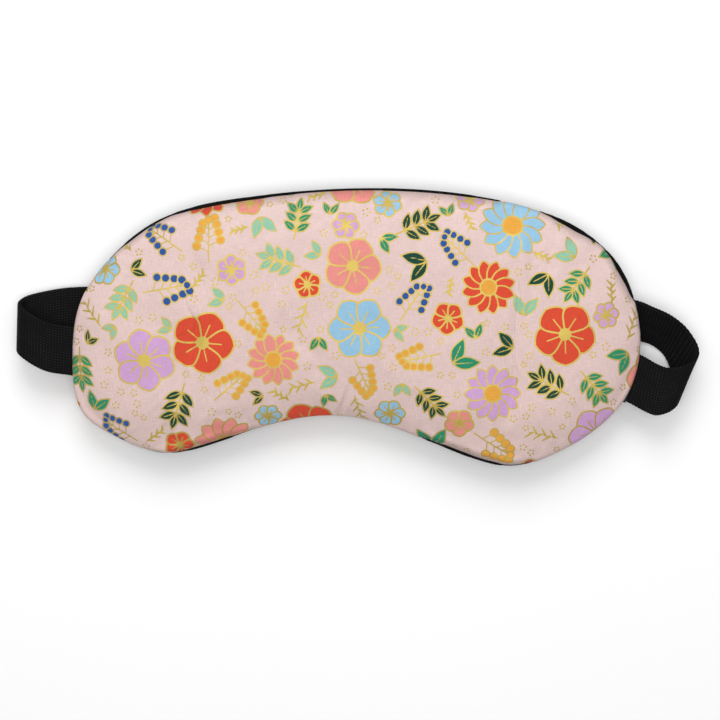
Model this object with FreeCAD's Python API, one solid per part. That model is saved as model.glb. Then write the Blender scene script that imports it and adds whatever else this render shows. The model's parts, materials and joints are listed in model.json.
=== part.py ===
"""Padded sleep mask with an elastic head strap, built layer by layer.

Millimetres. +X is to the right of someone who looks at the printed front, +Z is up towards
the forehead, and the front faces -Y. The origin is the middle of the face-side surface, the
plane that rests against the wearer. The strap is at rest folded flat behind the mask.
"""

import FreeCAD, Part

import math
import os

V = FreeCAD.Vector

# ---- driving dimensions ---------------------------------------------------------------
FRONT_DOME = 10.0          # how far the padded front stands out from the seam plane
BACK_DOME = 5.0            # the same for the face side
SEAM_Y = -BACK_DOME        # the plane in which all layers are sewn together
FABRIC = 0.6               # one layer of cloth with its interfacing
CLEARANCE = 0.1            # between neighbouring layers
CAP_SHARE = 0.72           # where the padded dome goes flat, as a share of the way to the spine
ALLOWANCE_SHARE = 0.13     # turned-in seam allowance, as the same kind of share
SEAM_LINE_SHARE = 0.045    # the row of stitches, inside the edge
DOME_SECTIONS = 7
SPINE_HALF = 58.0          # the domes rise towards a level line of this half length
SPINE_Z = 1.0

STRAP_WIDTH = 18.0
STRAP_THICK = 1.6
STRAP_END = 12.0           # sewn-in length at each side
END_SETBACK = 1.3          # from the bend at the seam to the sewn-in end
POCKET_OVERHANG = 4.0      # the pocket for the sewn-in end runs out past the edge
HINGE_X = 104.0            # where the strap bends at the side seam
FOLD_X = 118.9             # axis of the fold in each side loop
FOLD_Y = -3.4
FOLD_RADIUS = 4.6          # to the middle of the strap's thickness
BACK_X = 60.0              # where the returning strap meets the straight back run
BACK_Y = 1.6               # middle of the strap's thickness behind the mask
HINGE_GAP = 0.9            # strap left out on each side of a bend axis
MIDDLE_GAP = 0.5           # from each half of the back run to the middle of the strap
MIDDLE_Z = 5.0             # height of the strap's middle line there

THREAD_RADIUS = 0.2
SEAM_PITCH = 3.4
SEAM_STITCH = 2.6          # length of one stitch of the seam
CLOSING_STITCHES = 12
CLOSING_PITCH = 2.4
CLOSING_STITCH = 2.0
CLOSING_SHARE = 0.014      # close to the edge, as a share of the way to the spine
TACK_STITCHES = 5
TACK_PITCH = 3.2

# The sewn edge, clockwise from the top as seen from the front: x, z. The two sides differ a
# little, as on a hand-cut mask.
OUTLINE = [
    (12.0, 51.7), (46.0, 49.9), (76.0, 42.2), (93.5, 30.0), (102.6, 13.5), (105.2, -4.0),
    (101.6, -20.0), (92.5, -32.0), (76.5, -43.4), (59.5, -49.0), (44.0, -46.2),
    (23.0, -38.8), (-3.5, -33.0), (-29.0, -37.4), (-51.0, -46.0), (-69.5, -50.0),
    (-85.0, -45.2), (-98.6, -36.6), (-103.3, -17.0), (-101.0, 5.0), (-90.4, 22.0),
    (-73.4, 36.3), (-44.0, 45.6),
]

# Middle line of the strap on each side, from the seam to the middle of the back:
# distance from the mask's centre line, y, height, and how far the top leans outwards (degrees).
LEFT = {
    "side": -1,
    "front": [(HINGE_X + HINGE_GAP, SEAM_Y, -13.4, 0), (112.0, -6.9, -12.2, 0),
              (FOLD_X, FOLD_Y - FOLD_RADIUS, -8.8, 0)],
    "return": [(FOLD_X, FOLD_Y + FOLD_RADIUS, -2.6, 0), (110.0, 1.5, -0.4, 0),
               (98.0, BACK_Y, 1.0, 0), (BACK_X + HINGE_GAP, BACK_Y, 3.4, 0)],
    "end": (-13.4, 0),
}
RIGHT = {
    "side": 1,
    "front": [(HINGE_X + HINGE_GAP, SEAM_Y, -14.4, 12), (112.0, -6.9, -17.4, 10),
              (FOLD_X, FOLD_Y - FOLD_RADIUS, -14.6, 14)],
    "return": [(FOLD_X, FOLD_Y + FOLD_RADIUS, -6.4, 14), (112.0, 1.5, 1.6, 12),
               (104.0, BACK_Y, 5.4, 6), (BACK_X + HINGE_GAP, BACK_Y, 6.6, 0)],
    "end": (-14.4, 12),
}


# ---- the sewn outline and the domes over it ----------------------------------------------
def chord_parameters():
    """Curve parameters in proportion to the distance along the outline, ending where it closes."""
    parameters = [0.0]
    for (x0, z0), (x1, z1) in zip(OUTLINE, OUTLINE[1:] + OUTLINE[:1]):
        parameters.append(parameters[-1] + math.hypot(x1 - x0, z1 - z0))
    return parameters


PARAMETERS = chord_parameters()


def outline_curve(share, y):
    """The outline moved a share of the way to the spine, as a closed curve at depth y."""
    points = []
    for x, z in OUTLINE:
        spine_x = max(-SPINE_HALF, min(SPINE_HALF, x))
        points.append(V(x + share * (spine_x - x), y, z + share * (SPINE_Z - z)))
    curve = Part.BSplineCurve()
    curve.interpolate(Points=points, PeriodicFlag=True, Parameters=PARAMETERS)
    return curve


def outline_wire(share, y):
    return Part.Wire(outline_curve(share, y).toShape())


def dome(rim_share, base_y, cap_y):
    """A solid that rises like a quarter ellipse from the rim to a flat cap."""
    wires = []
    for step in range(DOME_SECTIONS):
        angle = math.pi / 2 * step / (DOME_SECTIONS - 1)
        share = rim_share + (CAP_SHARE - rim_share) * (1 - math.cos(angle))
        wires.append(outline_wire(share, base_y + (cap_y - base_y) * math.sin(angle)))
    return Part.makeLoft(wires, True, False)


def prism(share, y_low, y_high):
    """A straight block with the outline moved inwards by a share."""
    face = Part.Face(outline_wire(share, y_low))
    return face.extrude(V(0, y_high - y_low, 0))


def one_solid(shape):
    """The shape's only solid, so that each layer is written as one piece."""
    assert len(shape.Solids) == 1, len(shape.Solids)
    return shape.Solids[0]


def panel(direction, depth):
    """A cloth panel: a thin dome with its seam allowance turned in along the seam plane."""
    base = SEAM_Y + direction * CLEARANCE / 2
    cap = SEAM_Y + direction * depth
    inner_base = base + direction * FABRIC
    inner = dome(layer_share(1), inner_base, cap - direction * FABRIC)
    opening = prism(ALLOWANCE_SHARE, base - direction, inner_base + direction)
    return dome(0.0, base, cap).cut(inner).cut(opening)


def layer_share(layers):
    """Rim position inside a number of cloth layers. The spine is about 45 mm from the edge."""
    return layers * 0.015


# ---- layers of the mask ------------------------------------------------------------------
def front_panel():
    return panel(-1, FRONT_DOME)


def back_panel():
    return panel(1, BACK_DOME)


def blackout_lining():
    """A light-blocking sheet that lies inside the back panel, following its dome."""
    base = SEAM_Y + CLEARANCE / 2 + FABRIC + CLEARANCE
    cap = -FABRIC - CLEARANCE
    hollow = dome(layer_share(2.4), base - CLEARANCE, cap - FABRIC)
    return dome(layer_share(1.3), base, cap).cut(hollow)


def wadding():
    """The soft filling: one piece that runs through the opening between the seam allowances."""
    front_base = SEAM_Y - CLEARANCE / 2 - FABRIC - CLEARANCE
    front_cap = SEAM_Y - FRONT_DOME + FABRIC + CLEARANCE
    back_base = SEAM_Y + CLEARANCE / 2 + FABRIC + CLEARANCE
    back_cap = -2 * FABRIC - 2 * CLEARANCE
    front = dome(layer_share(1.3), front_base, front_cap)
    back = dome(layer_share(2.8), back_base, back_cap)
    middle = prism(ALLOWANCE_SHARE + 0.02, front_base - 0.5, back_base + 0.5)
    return front.fuse(middle).fuse(back)


def stitch(curve, place, length, direction):
    """One straight stitch, centred on a place along a curve."""
    start = curve.value(place) - direction * (length / 2)
    return Part.makeCylinder(THREAD_RADIUS, length, start, direction)


def seam_thread():
    """The row of stitches that joins the panels all round, a little inside the edge."""
    curve = outline_curve(SEAM_LINE_SHARE, SEAM_Y)
    edge = curve.toShape()
    count = round(edge.Length / SEAM_PITCH)
    stitches = []
    for index in range(count):
        place = edge.getParameterByLength(edge.Length * (index + 0.5) / count)
        stitches.append(stitch(curve, place, SEAM_STITCH, curve.tangent(place)[0]))
    return Part.makeCompound(stitches)


def closing_stitches():
    """Hand stitches that close the gap through which the mask was turned right side out."""
    curve = outline_curve(CLOSING_SHARE, SEAM_Y)
    edge = curve.toShape()
    stitches = []
    for index in range(CLOSING_STITCHES):
        place = edge.getParameterByLength(edge.Length - CLOSING_PITCH * (index + 1))
        stitches.append(stitch(curve, place, CLOSING_STITCH, V(0, 1, 0)))
    return Part.makeCompound(stitches)


# ---- strap -------------------------------------------------------------------------------
def width_direction(side, lean):
    angle = math.radians(lean)
    return V(side * math.sin(angle), 0, math.cos(angle))


def strap_section(centre, across, normal):
    """A rectangle across the strap. across runs along its width and normal out of its face."""
    half_width = across * (STRAP_WIDTH / 2)
    half_thick = normal * (STRAP_THICK / 2)
    corners = [
        centre + half_width + half_thick,
        centre + half_width - half_thick,
        centre - half_width - half_thick,
        centre - half_width + half_thick,
    ]
    return Part.makePolygon(corners + corners[:1])


def strap_run(strap, name):
    """A stretch of strap through its listed places."""
    wires = []
    for x, y, z, lean in strap[name]:
        centre = V(strap["side"] * x, y, z)
        wires.append(strap_section(centre, width_direction(strap["side"], lean), V(0, 1, 0)))
    return Part.makeLoft(wires, True, False)


def strap_back(strap):
    """Half of the flat back run, from the returning stretch to the middle."""
    outer = V(strap["side"] * (BACK_X - HINGE_GAP), BACK_Y - STRAP_THICK / 2, strap["return"][-1][2])
    inner = V(strap["side"] * MIDDLE_GAP, BACK_Y - STRAP_THICK / 2, MIDDLE_Z)
    half_width = V(0, 0, STRAP_WIDTH / 2)
    corners = [outer + half_width, inner + half_width, inner - half_width, outer - half_width]
    face = Part.Face(Part.makePolygon(corners + corners[:1]))
    return face.extrude(V(0, STRAP_THICK, 0))


def strap_fold(strap):
    """The half turn in a side loop, from the front stretch to the returning one."""
    side = strap["side"]
    z_front, lean = strap["front"][-1][2:]
    z_back = strap["return"][0][2]
    end_angle = math.radians(88.5)
    steps = 8
    wires = []
    for step in range(steps + 1):
        angle = end_angle * (2 * step / steps - 1)
        outward = V(side * math.cos(angle), math.sin(angle), 0)
        height = z_front + (z_back - z_front) * step / steps
        centre = V(side * FOLD_X, FOLD_Y, height) + outward * FOLD_RADIUS
        wires.append(strap_section(centre, width_direction(side, lean), outward))
    return Part.makeLoft(wires, True, False)


def sewn_in_block(strap, margin, overhang):
    """A block around the sewn-in strap end, grown by a margin and run out past the seam."""
    side = strap["side"]
    height, lean = strap["end"]
    block = Part.makeBox(
        STRAP_END + margin + overhang,
        STRAP_THICK + 2 * margin,
        STRAP_WIDTH + 2 * margin,
        V(-STRAP_END - margin, -STRAP_THICK / 2 - margin, -STRAP_WIDTH / 2 - margin),
    )
    if side < 0:
        block = block.mirror(V(0, 0, 0), V(1, 0, 0))
    block.rotate(V(0, 0, 0), V(0, 1, 0), side * lean)
    block.translate(V(side * (HINGE_X - END_SETBACK), SEAM_Y, height))
    return block


def strap_end(strap):
    return sewn_in_block(strap, 0.0, 0.0)


def strap_pocket(strap):
    """The room that the layers leave around the strap end."""
    return sewn_in_block(strap, CLEARANCE, POCKET_OVERHANG)


def strap_tack(strap):
    """A short row of stitches that ties the strap end into the seam."""
    side = strap["side"]
    height, lean = strap["end"]
    across = width_direction(side, lean)
    middle = V(side * (HINGE_X - 0.5 * STRAP_END), SEAM_Y - STRAP_THICK / 2 - CLEARANCE, height)
    length = STRAP_THICK + 2 * CLEARANCE
    stitches = []
    for index in range(TACK_STITCHES):
        offset = (index - (TACK_STITCHES - 1) / 2) * TACK_PITCH
        stitches.append(
            Part.makeCylinder(THREAD_RADIUS, length, middle + across * offset, V(0, 1, 0))
        )
    return Part.makeCompound(stitches)


# ---- assembly ----------------------------------------------------------------------------
def build():
    pockets = strap_pocket(LEFT).fuse(strap_pocket(RIGHT))
    pieces = {
        "front_panel": one_solid(front_panel().cut(pockets)),
        "wadding": one_solid(wadding().cut(pockets)),
        "blackout_lining": one_solid(blackout_lining().cut(pockets)),
        "back_panel": one_solid(back_panel().cut(pockets)),
        "seam_thread": seam_thread(),
        "closing_stitches": closing_stitches(),
    }
    for hand, strap in (("left", LEFT), ("right", RIGHT)):
        pieces["strap_end_" + hand] = strap_end(strap)
        pieces["strap_tack_" + hand] = strap_tack(strap)
        pieces["strap_front_" + hand] = strap_run(strap, "front")
        pieces["strap_fold_" + hand] = strap_fold(strap)
        pieces["strap_return_" + hand] = strap_run(strap, "return")
        pieces["strap_back_" + hand] = strap_back(strap)
    return pieces


def main():
    os.makedirs("parts", exist_ok=True)
    for node, shape in build().items():
        assert shape.isValid(), node
        box = shape.optimalBoundingBox()
        print(f"{node:18} {len(shape.Solids):3} {shape.Volume:10.1f} "
              f"{box.XMin:7.1f} {box.XMax:7.1f} {box.YMin:6.1f} {box.YMax:6.1f} "
              f"{box.ZMin:6.1f} {box.ZMax:6.1f}")
        shape.exportStep(os.path.join("parts", node + ".step"))


main()
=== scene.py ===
"""Looks of the padded sleep mask: printed front, black back and elastic strap.

Shapes are worked out in millimetres in the part's own frame and written in metres: +X right as
seen from the printed front, +Z towards the forehead, the front faces -Y.
"""

import json
import math
from functools import partial

import bpy
import numpy as np
from mathutils import Matrix, Vector

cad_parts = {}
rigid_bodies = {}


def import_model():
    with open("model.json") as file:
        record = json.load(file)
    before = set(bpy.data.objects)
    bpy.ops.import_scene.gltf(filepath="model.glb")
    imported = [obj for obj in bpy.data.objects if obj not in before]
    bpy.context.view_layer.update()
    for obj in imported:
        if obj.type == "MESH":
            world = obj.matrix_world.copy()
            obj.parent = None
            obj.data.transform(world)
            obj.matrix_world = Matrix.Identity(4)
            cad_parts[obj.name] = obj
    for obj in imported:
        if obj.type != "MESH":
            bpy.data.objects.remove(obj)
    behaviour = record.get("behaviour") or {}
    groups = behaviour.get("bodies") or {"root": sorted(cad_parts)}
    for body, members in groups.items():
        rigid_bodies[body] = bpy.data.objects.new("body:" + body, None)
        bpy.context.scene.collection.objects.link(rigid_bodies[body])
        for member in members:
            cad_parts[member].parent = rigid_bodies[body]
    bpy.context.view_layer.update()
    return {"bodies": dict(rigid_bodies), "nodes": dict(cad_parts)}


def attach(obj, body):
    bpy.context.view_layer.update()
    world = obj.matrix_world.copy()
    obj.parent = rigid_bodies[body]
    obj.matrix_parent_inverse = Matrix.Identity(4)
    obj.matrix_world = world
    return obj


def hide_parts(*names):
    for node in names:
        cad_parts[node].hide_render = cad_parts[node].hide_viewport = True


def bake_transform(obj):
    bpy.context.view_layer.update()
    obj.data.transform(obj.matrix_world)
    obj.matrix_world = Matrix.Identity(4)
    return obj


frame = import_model()

# ---- dimensions, mm -------------------------------------------------------------------------
SEAM_Y = -5.0
FRONT_DOME = 9.8
BACK_DOME = 4.9
DOME_SHARE = 0.66            # share of the way to the spine over which the pad rounds off
SPINE_HALF = 58.0
SPINE_Z = 1.0
CELLS = 36                   # coarse cells along the level line of the pad
CELL = 3.2                   # size of a coarse cell round the two ends
FINE = 8                     # fine cells in each coarse one
FRONT_RINGS = 16             # coarse rings from the seam to the spine
BACK_RINGS = 14

NOTCH_FOLD = (-3.0, -28.0)    # where the cloth folds a little over the nose: x, z
NOTCH_LEAN = 0.3             # how far the fold leans sideways for each mm of height
NOTCH_DEPTH = 1.2
RIM_SAMPLES = 8000
SECTION_HALF = 46.0          # from the seam to the level line on a typical section
CLOTH = 0.5                  # thickness of one cloth
BAKE_SPAN = 262.0            # width of cloth that the texture layout holds
CLOTH_TRAVEL = 12.0          # the furthest that the simulation may move a point
WRINKLE_SHARE = 0.8          # how much of the simulated wrinkles the finished cloth takes
HOLLOW = 0.22                # height of the soft hollows inside
HOLLOW_PITCH = 24.0
PUCKER = 0.09                # height of the short puckers next to the seam
PUCKER_WAVES = range(34, 74, 4)    # how many of them go round the rim, for each wave summed
ROLL_REACH = 3.6             # how far along the rim one value of ROLL counts
SHARP_EDGE = math.radians(65)

# The sewn edge, clockwise from the top as seen from the front: x, z.
OUTLINE = [
    (12.0, 51.7), (46.0, 49.9), (76.0, 42.2), (93.5, 30.0), (102.6, 13.5), (105.2, -4.0),
    (101.6, -20.0), (92.5, -32.0), (76.5, -43.4), (59.5, -49.0), (44.0, -46.2),
    (23.0, -38.8), (-3.5, -33.0), (-29.0, -37.4), (-51.0, -46.0), (-69.5, -50.0),
    (-85.0, -45.2), (-98.6, -36.6), (-103.3, -17.0), (-101.0, 5.0), (-90.4, 22.0),
    (-73.4, 36.3), (-44.0, 45.6),
]

# How far the black back cloth rolls round the edge to the front: x, z, mm. Below zero the
# printed cloth rolls to the back.
ROLL = [
    (-103, -17, -0.9), (-101, 5, -0.9), (-95, 15, -0.3), (-88, 25, 0.1), (-83, 29, 0.6),
    (-74, 36, 0.5), (-69, 38, 0.3), (-63, 40, 0.7), (-57, 42, 1.0), (-48, 45, 0.95),
    (-40, 47, 0.9), (-28, 49, 0.7), (-20, 50, 0.5), (-4, 51, 0.5), (20, 52, 0.6),
    (35, 51, 0.6), (47, 49.5, 0.4), (55, 48, -0.2), (63, 46, -0.2), (68, 44.5, 0.4),
    (74, 43, 1.1), (79, 40, 1.35), (84, 37, 0.8), (89, 34, -0.1), (92, 31, 0.8),
    (97, 24, 1.5), (100, 19, 1.1),
    (103, 12, -0.2), (105, -4, -0.8), (101, -20, -0.9), (92, -32, -0.8), (76, -43, -0.4),
    (60, -49, 0.3), (52, -48, 1.0), (38, -44, 1.1), (30, -41, 0.6), (23, -39, -0.4),
    (-3, -33, -0.8), (-29, -37, -0.6), (-40, -41, 0.1), (-46, -44, 0.8), (-56, -47, 0.9),
    (-63, -49, 0.4), (-68, -50, -0.1), (-85, -45, -0.9), (-98, -36, -0.9),
]


# ---- curves ---------------------------------------------------------------------------------
def running(steps):
    """Length so far at the start of each step and at the end of the last."""
    return np.concatenate([[0], np.cumsum(steps)])


def at_lengths(marks, lengths, points):
    """Points of a line at some lengths along it."""
    return np.stack([np.interp(marks, lengths, column) for column in points.T], axis=1)


def unit(vectors):
    return vectors / np.linalg.norm(vectors, axis=1)[:, None]


def closed_curve(points, samples):
    """A smooth closed curve through the points, sampled in equal steps of its parameter."""
    points = np.array(points, float)
    following = np.roll(points, -1, axis=0)
    steps = np.hypot(*(following - points).T)
    n = len(points)
    matrix = np.zeros((n, n))
    right = np.zeros_like(points)
    for i in range(n):
        before = (i - 1) % n
        matrix[i, before] += steps[before]
        matrix[i, i] += 2 * (steps[before] + steps[i])
        matrix[i, (i + 1) % n] += steps[i]
        right[i] = 6 * ((following[i] - points[i]) / steps[i]
                        - (points[i] - points[before]) / steps[before])
    bend = np.linalg.solve(matrix, right)
    knots = running(steps)
    places = np.linspace(0, knots[-1], samples, endpoint=False)
    cell = np.clip(np.searchsorted(knots, places, side="right") - 1, 0, n - 1)
    b = ((places - knots[cell]) / steps[cell])[:, None]
    a = 1 - b
    after = (cell + 1) % n
    span = (steps[cell] ** 2 / 6)[:, None]
    return (a * points[cell] + b * points[after]
            + ((a ** 3 - a) * bend[cell] + (b ** 3 - b) * bend[after]) * span)


def resample(values, factor, periodic):
    """Catmull-Rom refinement of an array along its first axis."""
    n = len(values)
    if periodic:
        padded = np.concatenate([values[-1:], values, values[:2]])
        count = n
    else:
        padded = np.concatenate([2 * values[:1] - values[1:2], values,
                                 2 * values[-1:] - values[-2:-1]])
        count = n - 1
    out = []
    for k in range(factor):
        t = k / factor
        p0, p1 = padded[0:count], padded[1:count + 1]
        p2, p3 = padded[2:count + 2], padded[3:count + 3]
        out.append(0.5 * (2 * p1 + (p2 - p0) * t + (2 * p0 - 5 * p1 + 4 * p2 - p3) * t ** 2
                          + (3 * p1 - p0 - 3 * p2 + p3) * t ** 3))
    fine = np.stack(out, axis=1).reshape((count * factor,) + values.shape[1:])
    return fine if periodic else np.concatenate([fine, values[-1:]])


def wave_noise(x, z, wavelength, seed, count=14):
    """Smooth aperiodic ripple of about one unit: a sum of plane waves."""
    local = np.random.default_rng(seed)
    total = np.zeros_like(x)
    for _ in range(count):
        angle = local.uniform(0, 2 * math.pi)
        pitch = wavelength * local.uniform(0.7, 1.5)
        phase = local.uniform(0, 2 * math.pi)
        total += np.sin(2 * math.pi * (x * math.cos(angle) + z * math.sin(angle)) / pitch + phase)
    return total / math.sqrt(count / 2)


# ---- pad ------------------------------------------------------------------------------------
def rim_points(factor):
    """Places round the sewn edge. Along the level middle, top and bottom places pair up."""
    dense = closed_curve(OUTLINE, RIM_SAMPLES)
    x, z = dense.T

    def place(upper, aim):
        """Index of the place on the upper or lower edge that is closest to x = aim."""
        return int(np.argmin(np.where(z > 0 if upper else z < 0, np.abs(x - aim), np.inf)))

    right_top, left_top = place(True, SPINE_HALF), place(True, -SPINE_HALF)
    right_low, left_low = place(False, SPINE_HALF), place(False, -SPINE_HALF)

    def stretch(start, end):
        count = (end - start) % RIM_SAMPLES
        return dense[(start + np.arange(count + 1)) % RIM_SAMPLES]

    def level(part, xs):
        order = np.argsort(part[:, 0])
        return np.stack([xs, np.interp(xs, part[order, 0], part[order, 1])], axis=1)

    def around(part):
        lengths = running(np.hypot(*np.diff(part, axis=0).T))
        count = max(2, round(lengths[-1] / CELL)) * factor
        marks = np.linspace(0, lengths[-1], count, endpoint=False)
        return at_lengths(marks, lengths, part)

    xs = np.linspace(-SPINE_HALF, SPINE_HALF, CELLS * factor, endpoint=False)
    top_edge = level(stretch(left_top, right_top), xs)
    low_edge = level(stretch(right_low, left_low), -xs)
    right_end = around(stretch(right_top, right_low))
    left_end = around(stretch(left_low, left_top))
    right_end[0, 0] = SPINE_HALF
    left_end[0, 0] = -SPINE_HALF
    return np.concatenate([top_edge, right_end, low_edge, left_end]), len(right_end)


def roll_round(rim):
    """Signed width of the black edge at each place of the rim."""
    marks = np.array([(x, z) for x, z, _ in ROLL], float)
    widths = np.array([w for _, _, w in ROLL])
    distance = np.hypot(rim[:, None, 0] - marks[None, :, 0], rim[:, None, 1] - marks[None, :, 1])
    weight = np.exp(-(distance / ROLL_REACH) ** 2) + 1e-12
    return (weight * widths).sum(1) / weight.sum(1)


def dome_height(share):
    """Height of the pad over the seam plane as a share of its depth."""
    t = np.clip(share / DOME_SHARE, 0, 1)
    return (1 - (1 - t) ** 2.15) ** 0.56


SHARES = np.concatenate([np.linspace(0, 1, 4001)[:-1] ** 2.2, [1.0]])


def section_lengths(depth):
    """Length along a typical section of one side of the pad, up to each of SHARES."""
    steps = np.hypot(np.diff(SHARES) * SECTION_HALF, np.diff(dome_height(SHARES)) * depth)
    return running(steps)


FRONT_LENGTHS = section_lengths(FRONT_DOME)
BACK_LENGTHS = section_lengths(BACK_DOME)


def on_spine(rim):
    """The point of the level middle line that each place of the rim faces: x, z."""
    return np.stack([np.clip(rim[:, 0], -SPINE_HALF, SPINE_HALF), np.full(len(rim), SPINE_Z)], axis=1)


def sheet_points(rim, roll, rings, side):
    """Points of one cloth, from the seam (ring 0) to the level middle line (last ring).

    side is +1 for the printed front and -1 for the back. roll is where the seam lies: mm in
    front of the widest edge, or behind it where negative."""
    x, z = rim[:, 0][:, None], rim[:, 1][:, None]
    spine_x = on_spine(rim)[:, :1]
    reach = np.hypot(x - spine_x, z - SPINE_Z)
    seam_share = roll[:, None] / reach
    seam = np.where(seam_share > 0, np.interp(seam_share, SHARES, FRONT_LENGTHS),
                    -np.interp(-seam_share, SHARES, BACK_LENGTHS))
    end = FRONT_LENGTHS[-1] if side > 0 else -BACK_LENGTHS[-1]
    along = seam + (end - seam) * np.linspace(0, 1, rings + 1)[None, :]
    share = np.where(along > 0, np.interp(along, FRONT_LENGTHS, SHARES),
                     np.interp(-along, BACK_LENGTHS, SHARES))
    share[:, -1] = 1.0
    depth = np.where(along > 0, -FRONT_DOME, BACK_DOME)
    return np.stack([x + share * (spine_x - x), SEAM_Y + depth * dome_height(share),
                     z + share * (SPINE_Z - z)], axis=2)


def from_seam(points):
    """Length along the cloth from the seam to each point."""
    step = np.linalg.norm(np.diff(points, axis=1), axis=2)
    return np.concatenate([np.zeros((len(points), 1)), np.cumsum(step, axis=1)], axis=1)


def seam_sink(points, depth=0.45, width=1.3):
    """Draws the cloth inwards next to the seam, so that the join shows as a fine groove."""
    along = from_seam(points)
    inward = points[:, -1:, :] - points
    inward[..., 1] = SEAM_Y - points[..., 1]
    inward /= np.maximum(np.linalg.norm(inward, axis=2), 1e-6)[..., None]
    return points + inward * (depth * np.exp(-along / width))[..., None]


class Pad:
    """Index bookkeeping for the two cloths, which share the pattern of places round the rim."""

    def __init__(self, factor):
        self.rim, self.right = rim_points(factor)
        self.count = len(self.rim)
        self.cells = CELLS * factor
        self.roll = roll_round(self.rim)
        self.shared = self.centre_index()
        self.kept = np.unique(self.shared)
        self.number = np.zeros(self.count, int)
        self.number[self.kept] = np.arange(len(self.kept))

    def centre_index(self):
        """For each place of the rim, which place its level-line point is shared with."""
        shared = np.arange(self.count)
        n, right = self.cells, self.right
        shared[n:n + right + 1] = n
        for k in range(1, n):
            shared[n + right + k] = n - k
        left_start = 2 * n + right
        shared[left_start:] = 0
        return shared

    def faces(self, rings, flip):
        """Quads of one cloth, with triangles round the two ends of the level line."""
        n = self.count
        centre = n * rings + self.number[self.shared]
        i = np.arange(n)
        j = (i + 1) % n
        faces = []
        for ring in range(rings - 1):
            faces.append(np.stack([ring * n + i, ring * n + j, (ring + 1) * n + j,
                                   (ring + 1) * n + i], axis=1))
        last = (rings - 1) * n
        quads = np.concatenate(faces)
        a, b, c, d = last + i, last + j, centre[j], centre[i]
        flat = c != d
        quads = np.concatenate([quads, np.stack([a, b, c, d], axis=1)[flat]])
        triangles = np.stack([a, b, c], axis=1)[~flat]
        if flip:
            quads, triangles = quads[:, ::-1], triangles[:, ::-1]
        return quads, triangles

    def vertices(self, points):
        rings = points.shape[1] - 1
        outer = points[:, :rings].transpose(1, 0, 2).reshape(-1, points.shape[2])
        return np.concatenate([outer, points[self.kept, rings]])


def add_object(name, data):
    """A new object in the scene."""
    thing = bpy.data.objects.new(name, data)
    bpy.context.scene.collection.objects.link(thing)
    return thing


def build_mesh(name, vertices, faces):
    """A mesh object from points in mm and lists of faces."""
    mesh = bpy.data.meshes.new(name)
    counts = np.concatenate([np.full(len(f), f.shape[1]) for f in faces if len(f)])
    corners = np.concatenate([f.ravel() for f in faces if len(f)])
    mesh.vertices.add(len(vertices))
    mesh.vertices.foreach_set("co", (vertices / 1000).astype(np.float32).ravel())
    mesh.loops.add(len(corners))
    mesh.loops.foreach_set("vertex_index", corners.astype(np.int32))
    mesh.polygons.add(len(counts))
    mesh.polygons.foreach_set("loop_start", running(counts)[:-1].astype(np.int32))
    mesh.polygons.foreach_set("use_smooth", np.full(len(counts), True))
    mesh.update(calc_edges=True)
    mesh.validate()
    return add_object(name, mesh)


def set_values(thing, name, kind, values):
    """Stores a value on every point of a mesh."""
    store = thing.data.attributes.new(name, kind, "POINT")
    key = {"FLOAT": "value", "FLOAT_COLOR": "color", "FLOAT_VECTOR": "vector"}[kind]
    store.data.foreach_set(key, values.astype(np.float32).ravel())


def raised(points, height):
    """A copy of the points, moved along Y."""
    moved = points.copy()
    moved[..., 1] += height
    return moved


def cloth_ripple(points, side):
    """Small unevenness of a padded cloth: soft hollows inside, short puckers next to the seam."""
    x, z = points[..., 0], points[..., 2]
    along = from_seam(points)
    soft = HOLLOW * wave_noise(x, z, HOLLOW_PITCH, 11 + side)
    inside = 1 - np.exp(-(along / 9.0) ** 2)
    rim_step = np.hypot(*(np.roll(points[:, 0], -1, axis=0) - points[:, 0])[:, ::2].T)
    round_rim = running(rim_step)[:-1]
    total = rim_step.sum()
    pucker = np.zeros(len(points))
    local = np.random.default_rng(40 + side)
    for waves in PUCKER_WAVES:
        pucker += local.uniform(0.4, 1) * np.sin(2 * math.pi * waves * round_rim / total
                                                 + local.uniform(0, 6.28))
    near = np.exp(-along / 5.0) * (1 - np.exp(-along / 1.2))
    ripple = soft * inside + PUCKER * pucker[:, None] * near
    across_notch = x - NOTCH_FOLD[0] - NOTCH_LEAN * (z - NOTCH_FOLD[1])
    fold = np.exp(-(across_notch / 1.1) ** 2) - 0.5 * np.exp(-(across_notch / 2.6) ** 2)
    ripple -= NOTCH_DEPTH * fold * np.exp(-((z - NOTCH_FOLD[1]) / 6.0) ** 2)
    return raised(points, -side * ripple)


def shrink(points, rim, rim_gap, share):
    """The same surface further in: closer to the middle plane and away from the rim."""
    spine = np.insert(on_spine(rim), 1, SEAM_Y, axis=1)
    inner = 1 - rim_gap / np.hypot(*(rim - spine[:, [0, 2]]).T)
    scale = np.stack([inner, np.full(len(rim), share), inner], axis=1)
    return spine[:, None] + (points - spine[:, None]) * scale[:, None]


def shell(name, pad, near, far):
    """A closed body between two sheets; near is the one towards the printed front (-Y)."""
    near_vertices = pad.vertices(near)
    shift = len(near_vertices)
    i = np.arange(pad.count)
    j = (i + 1) % pad.count
    strip = np.stack([i, j, shift + j, shift + i], axis=1)
    far_faces = [faces + shift for faces in pad.faces(far.shape[1] - 1, False)]
    thing = build_mesh(name, np.concatenate([near_vertices, pad.vertices(far)]),
                       [*pad.faces(near.shape[1] - 1, True), *far_faces, strip])
    thing.data.set_sharp_from_angle(angle=SHARP_EDGE)
    return thing


def whole_numbers(items, key):
    """One whole number from each corner or face of a mesh."""
    values = np.zeros(len(items), np.int32)
    items.foreach_get(key, values)
    return values


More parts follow.
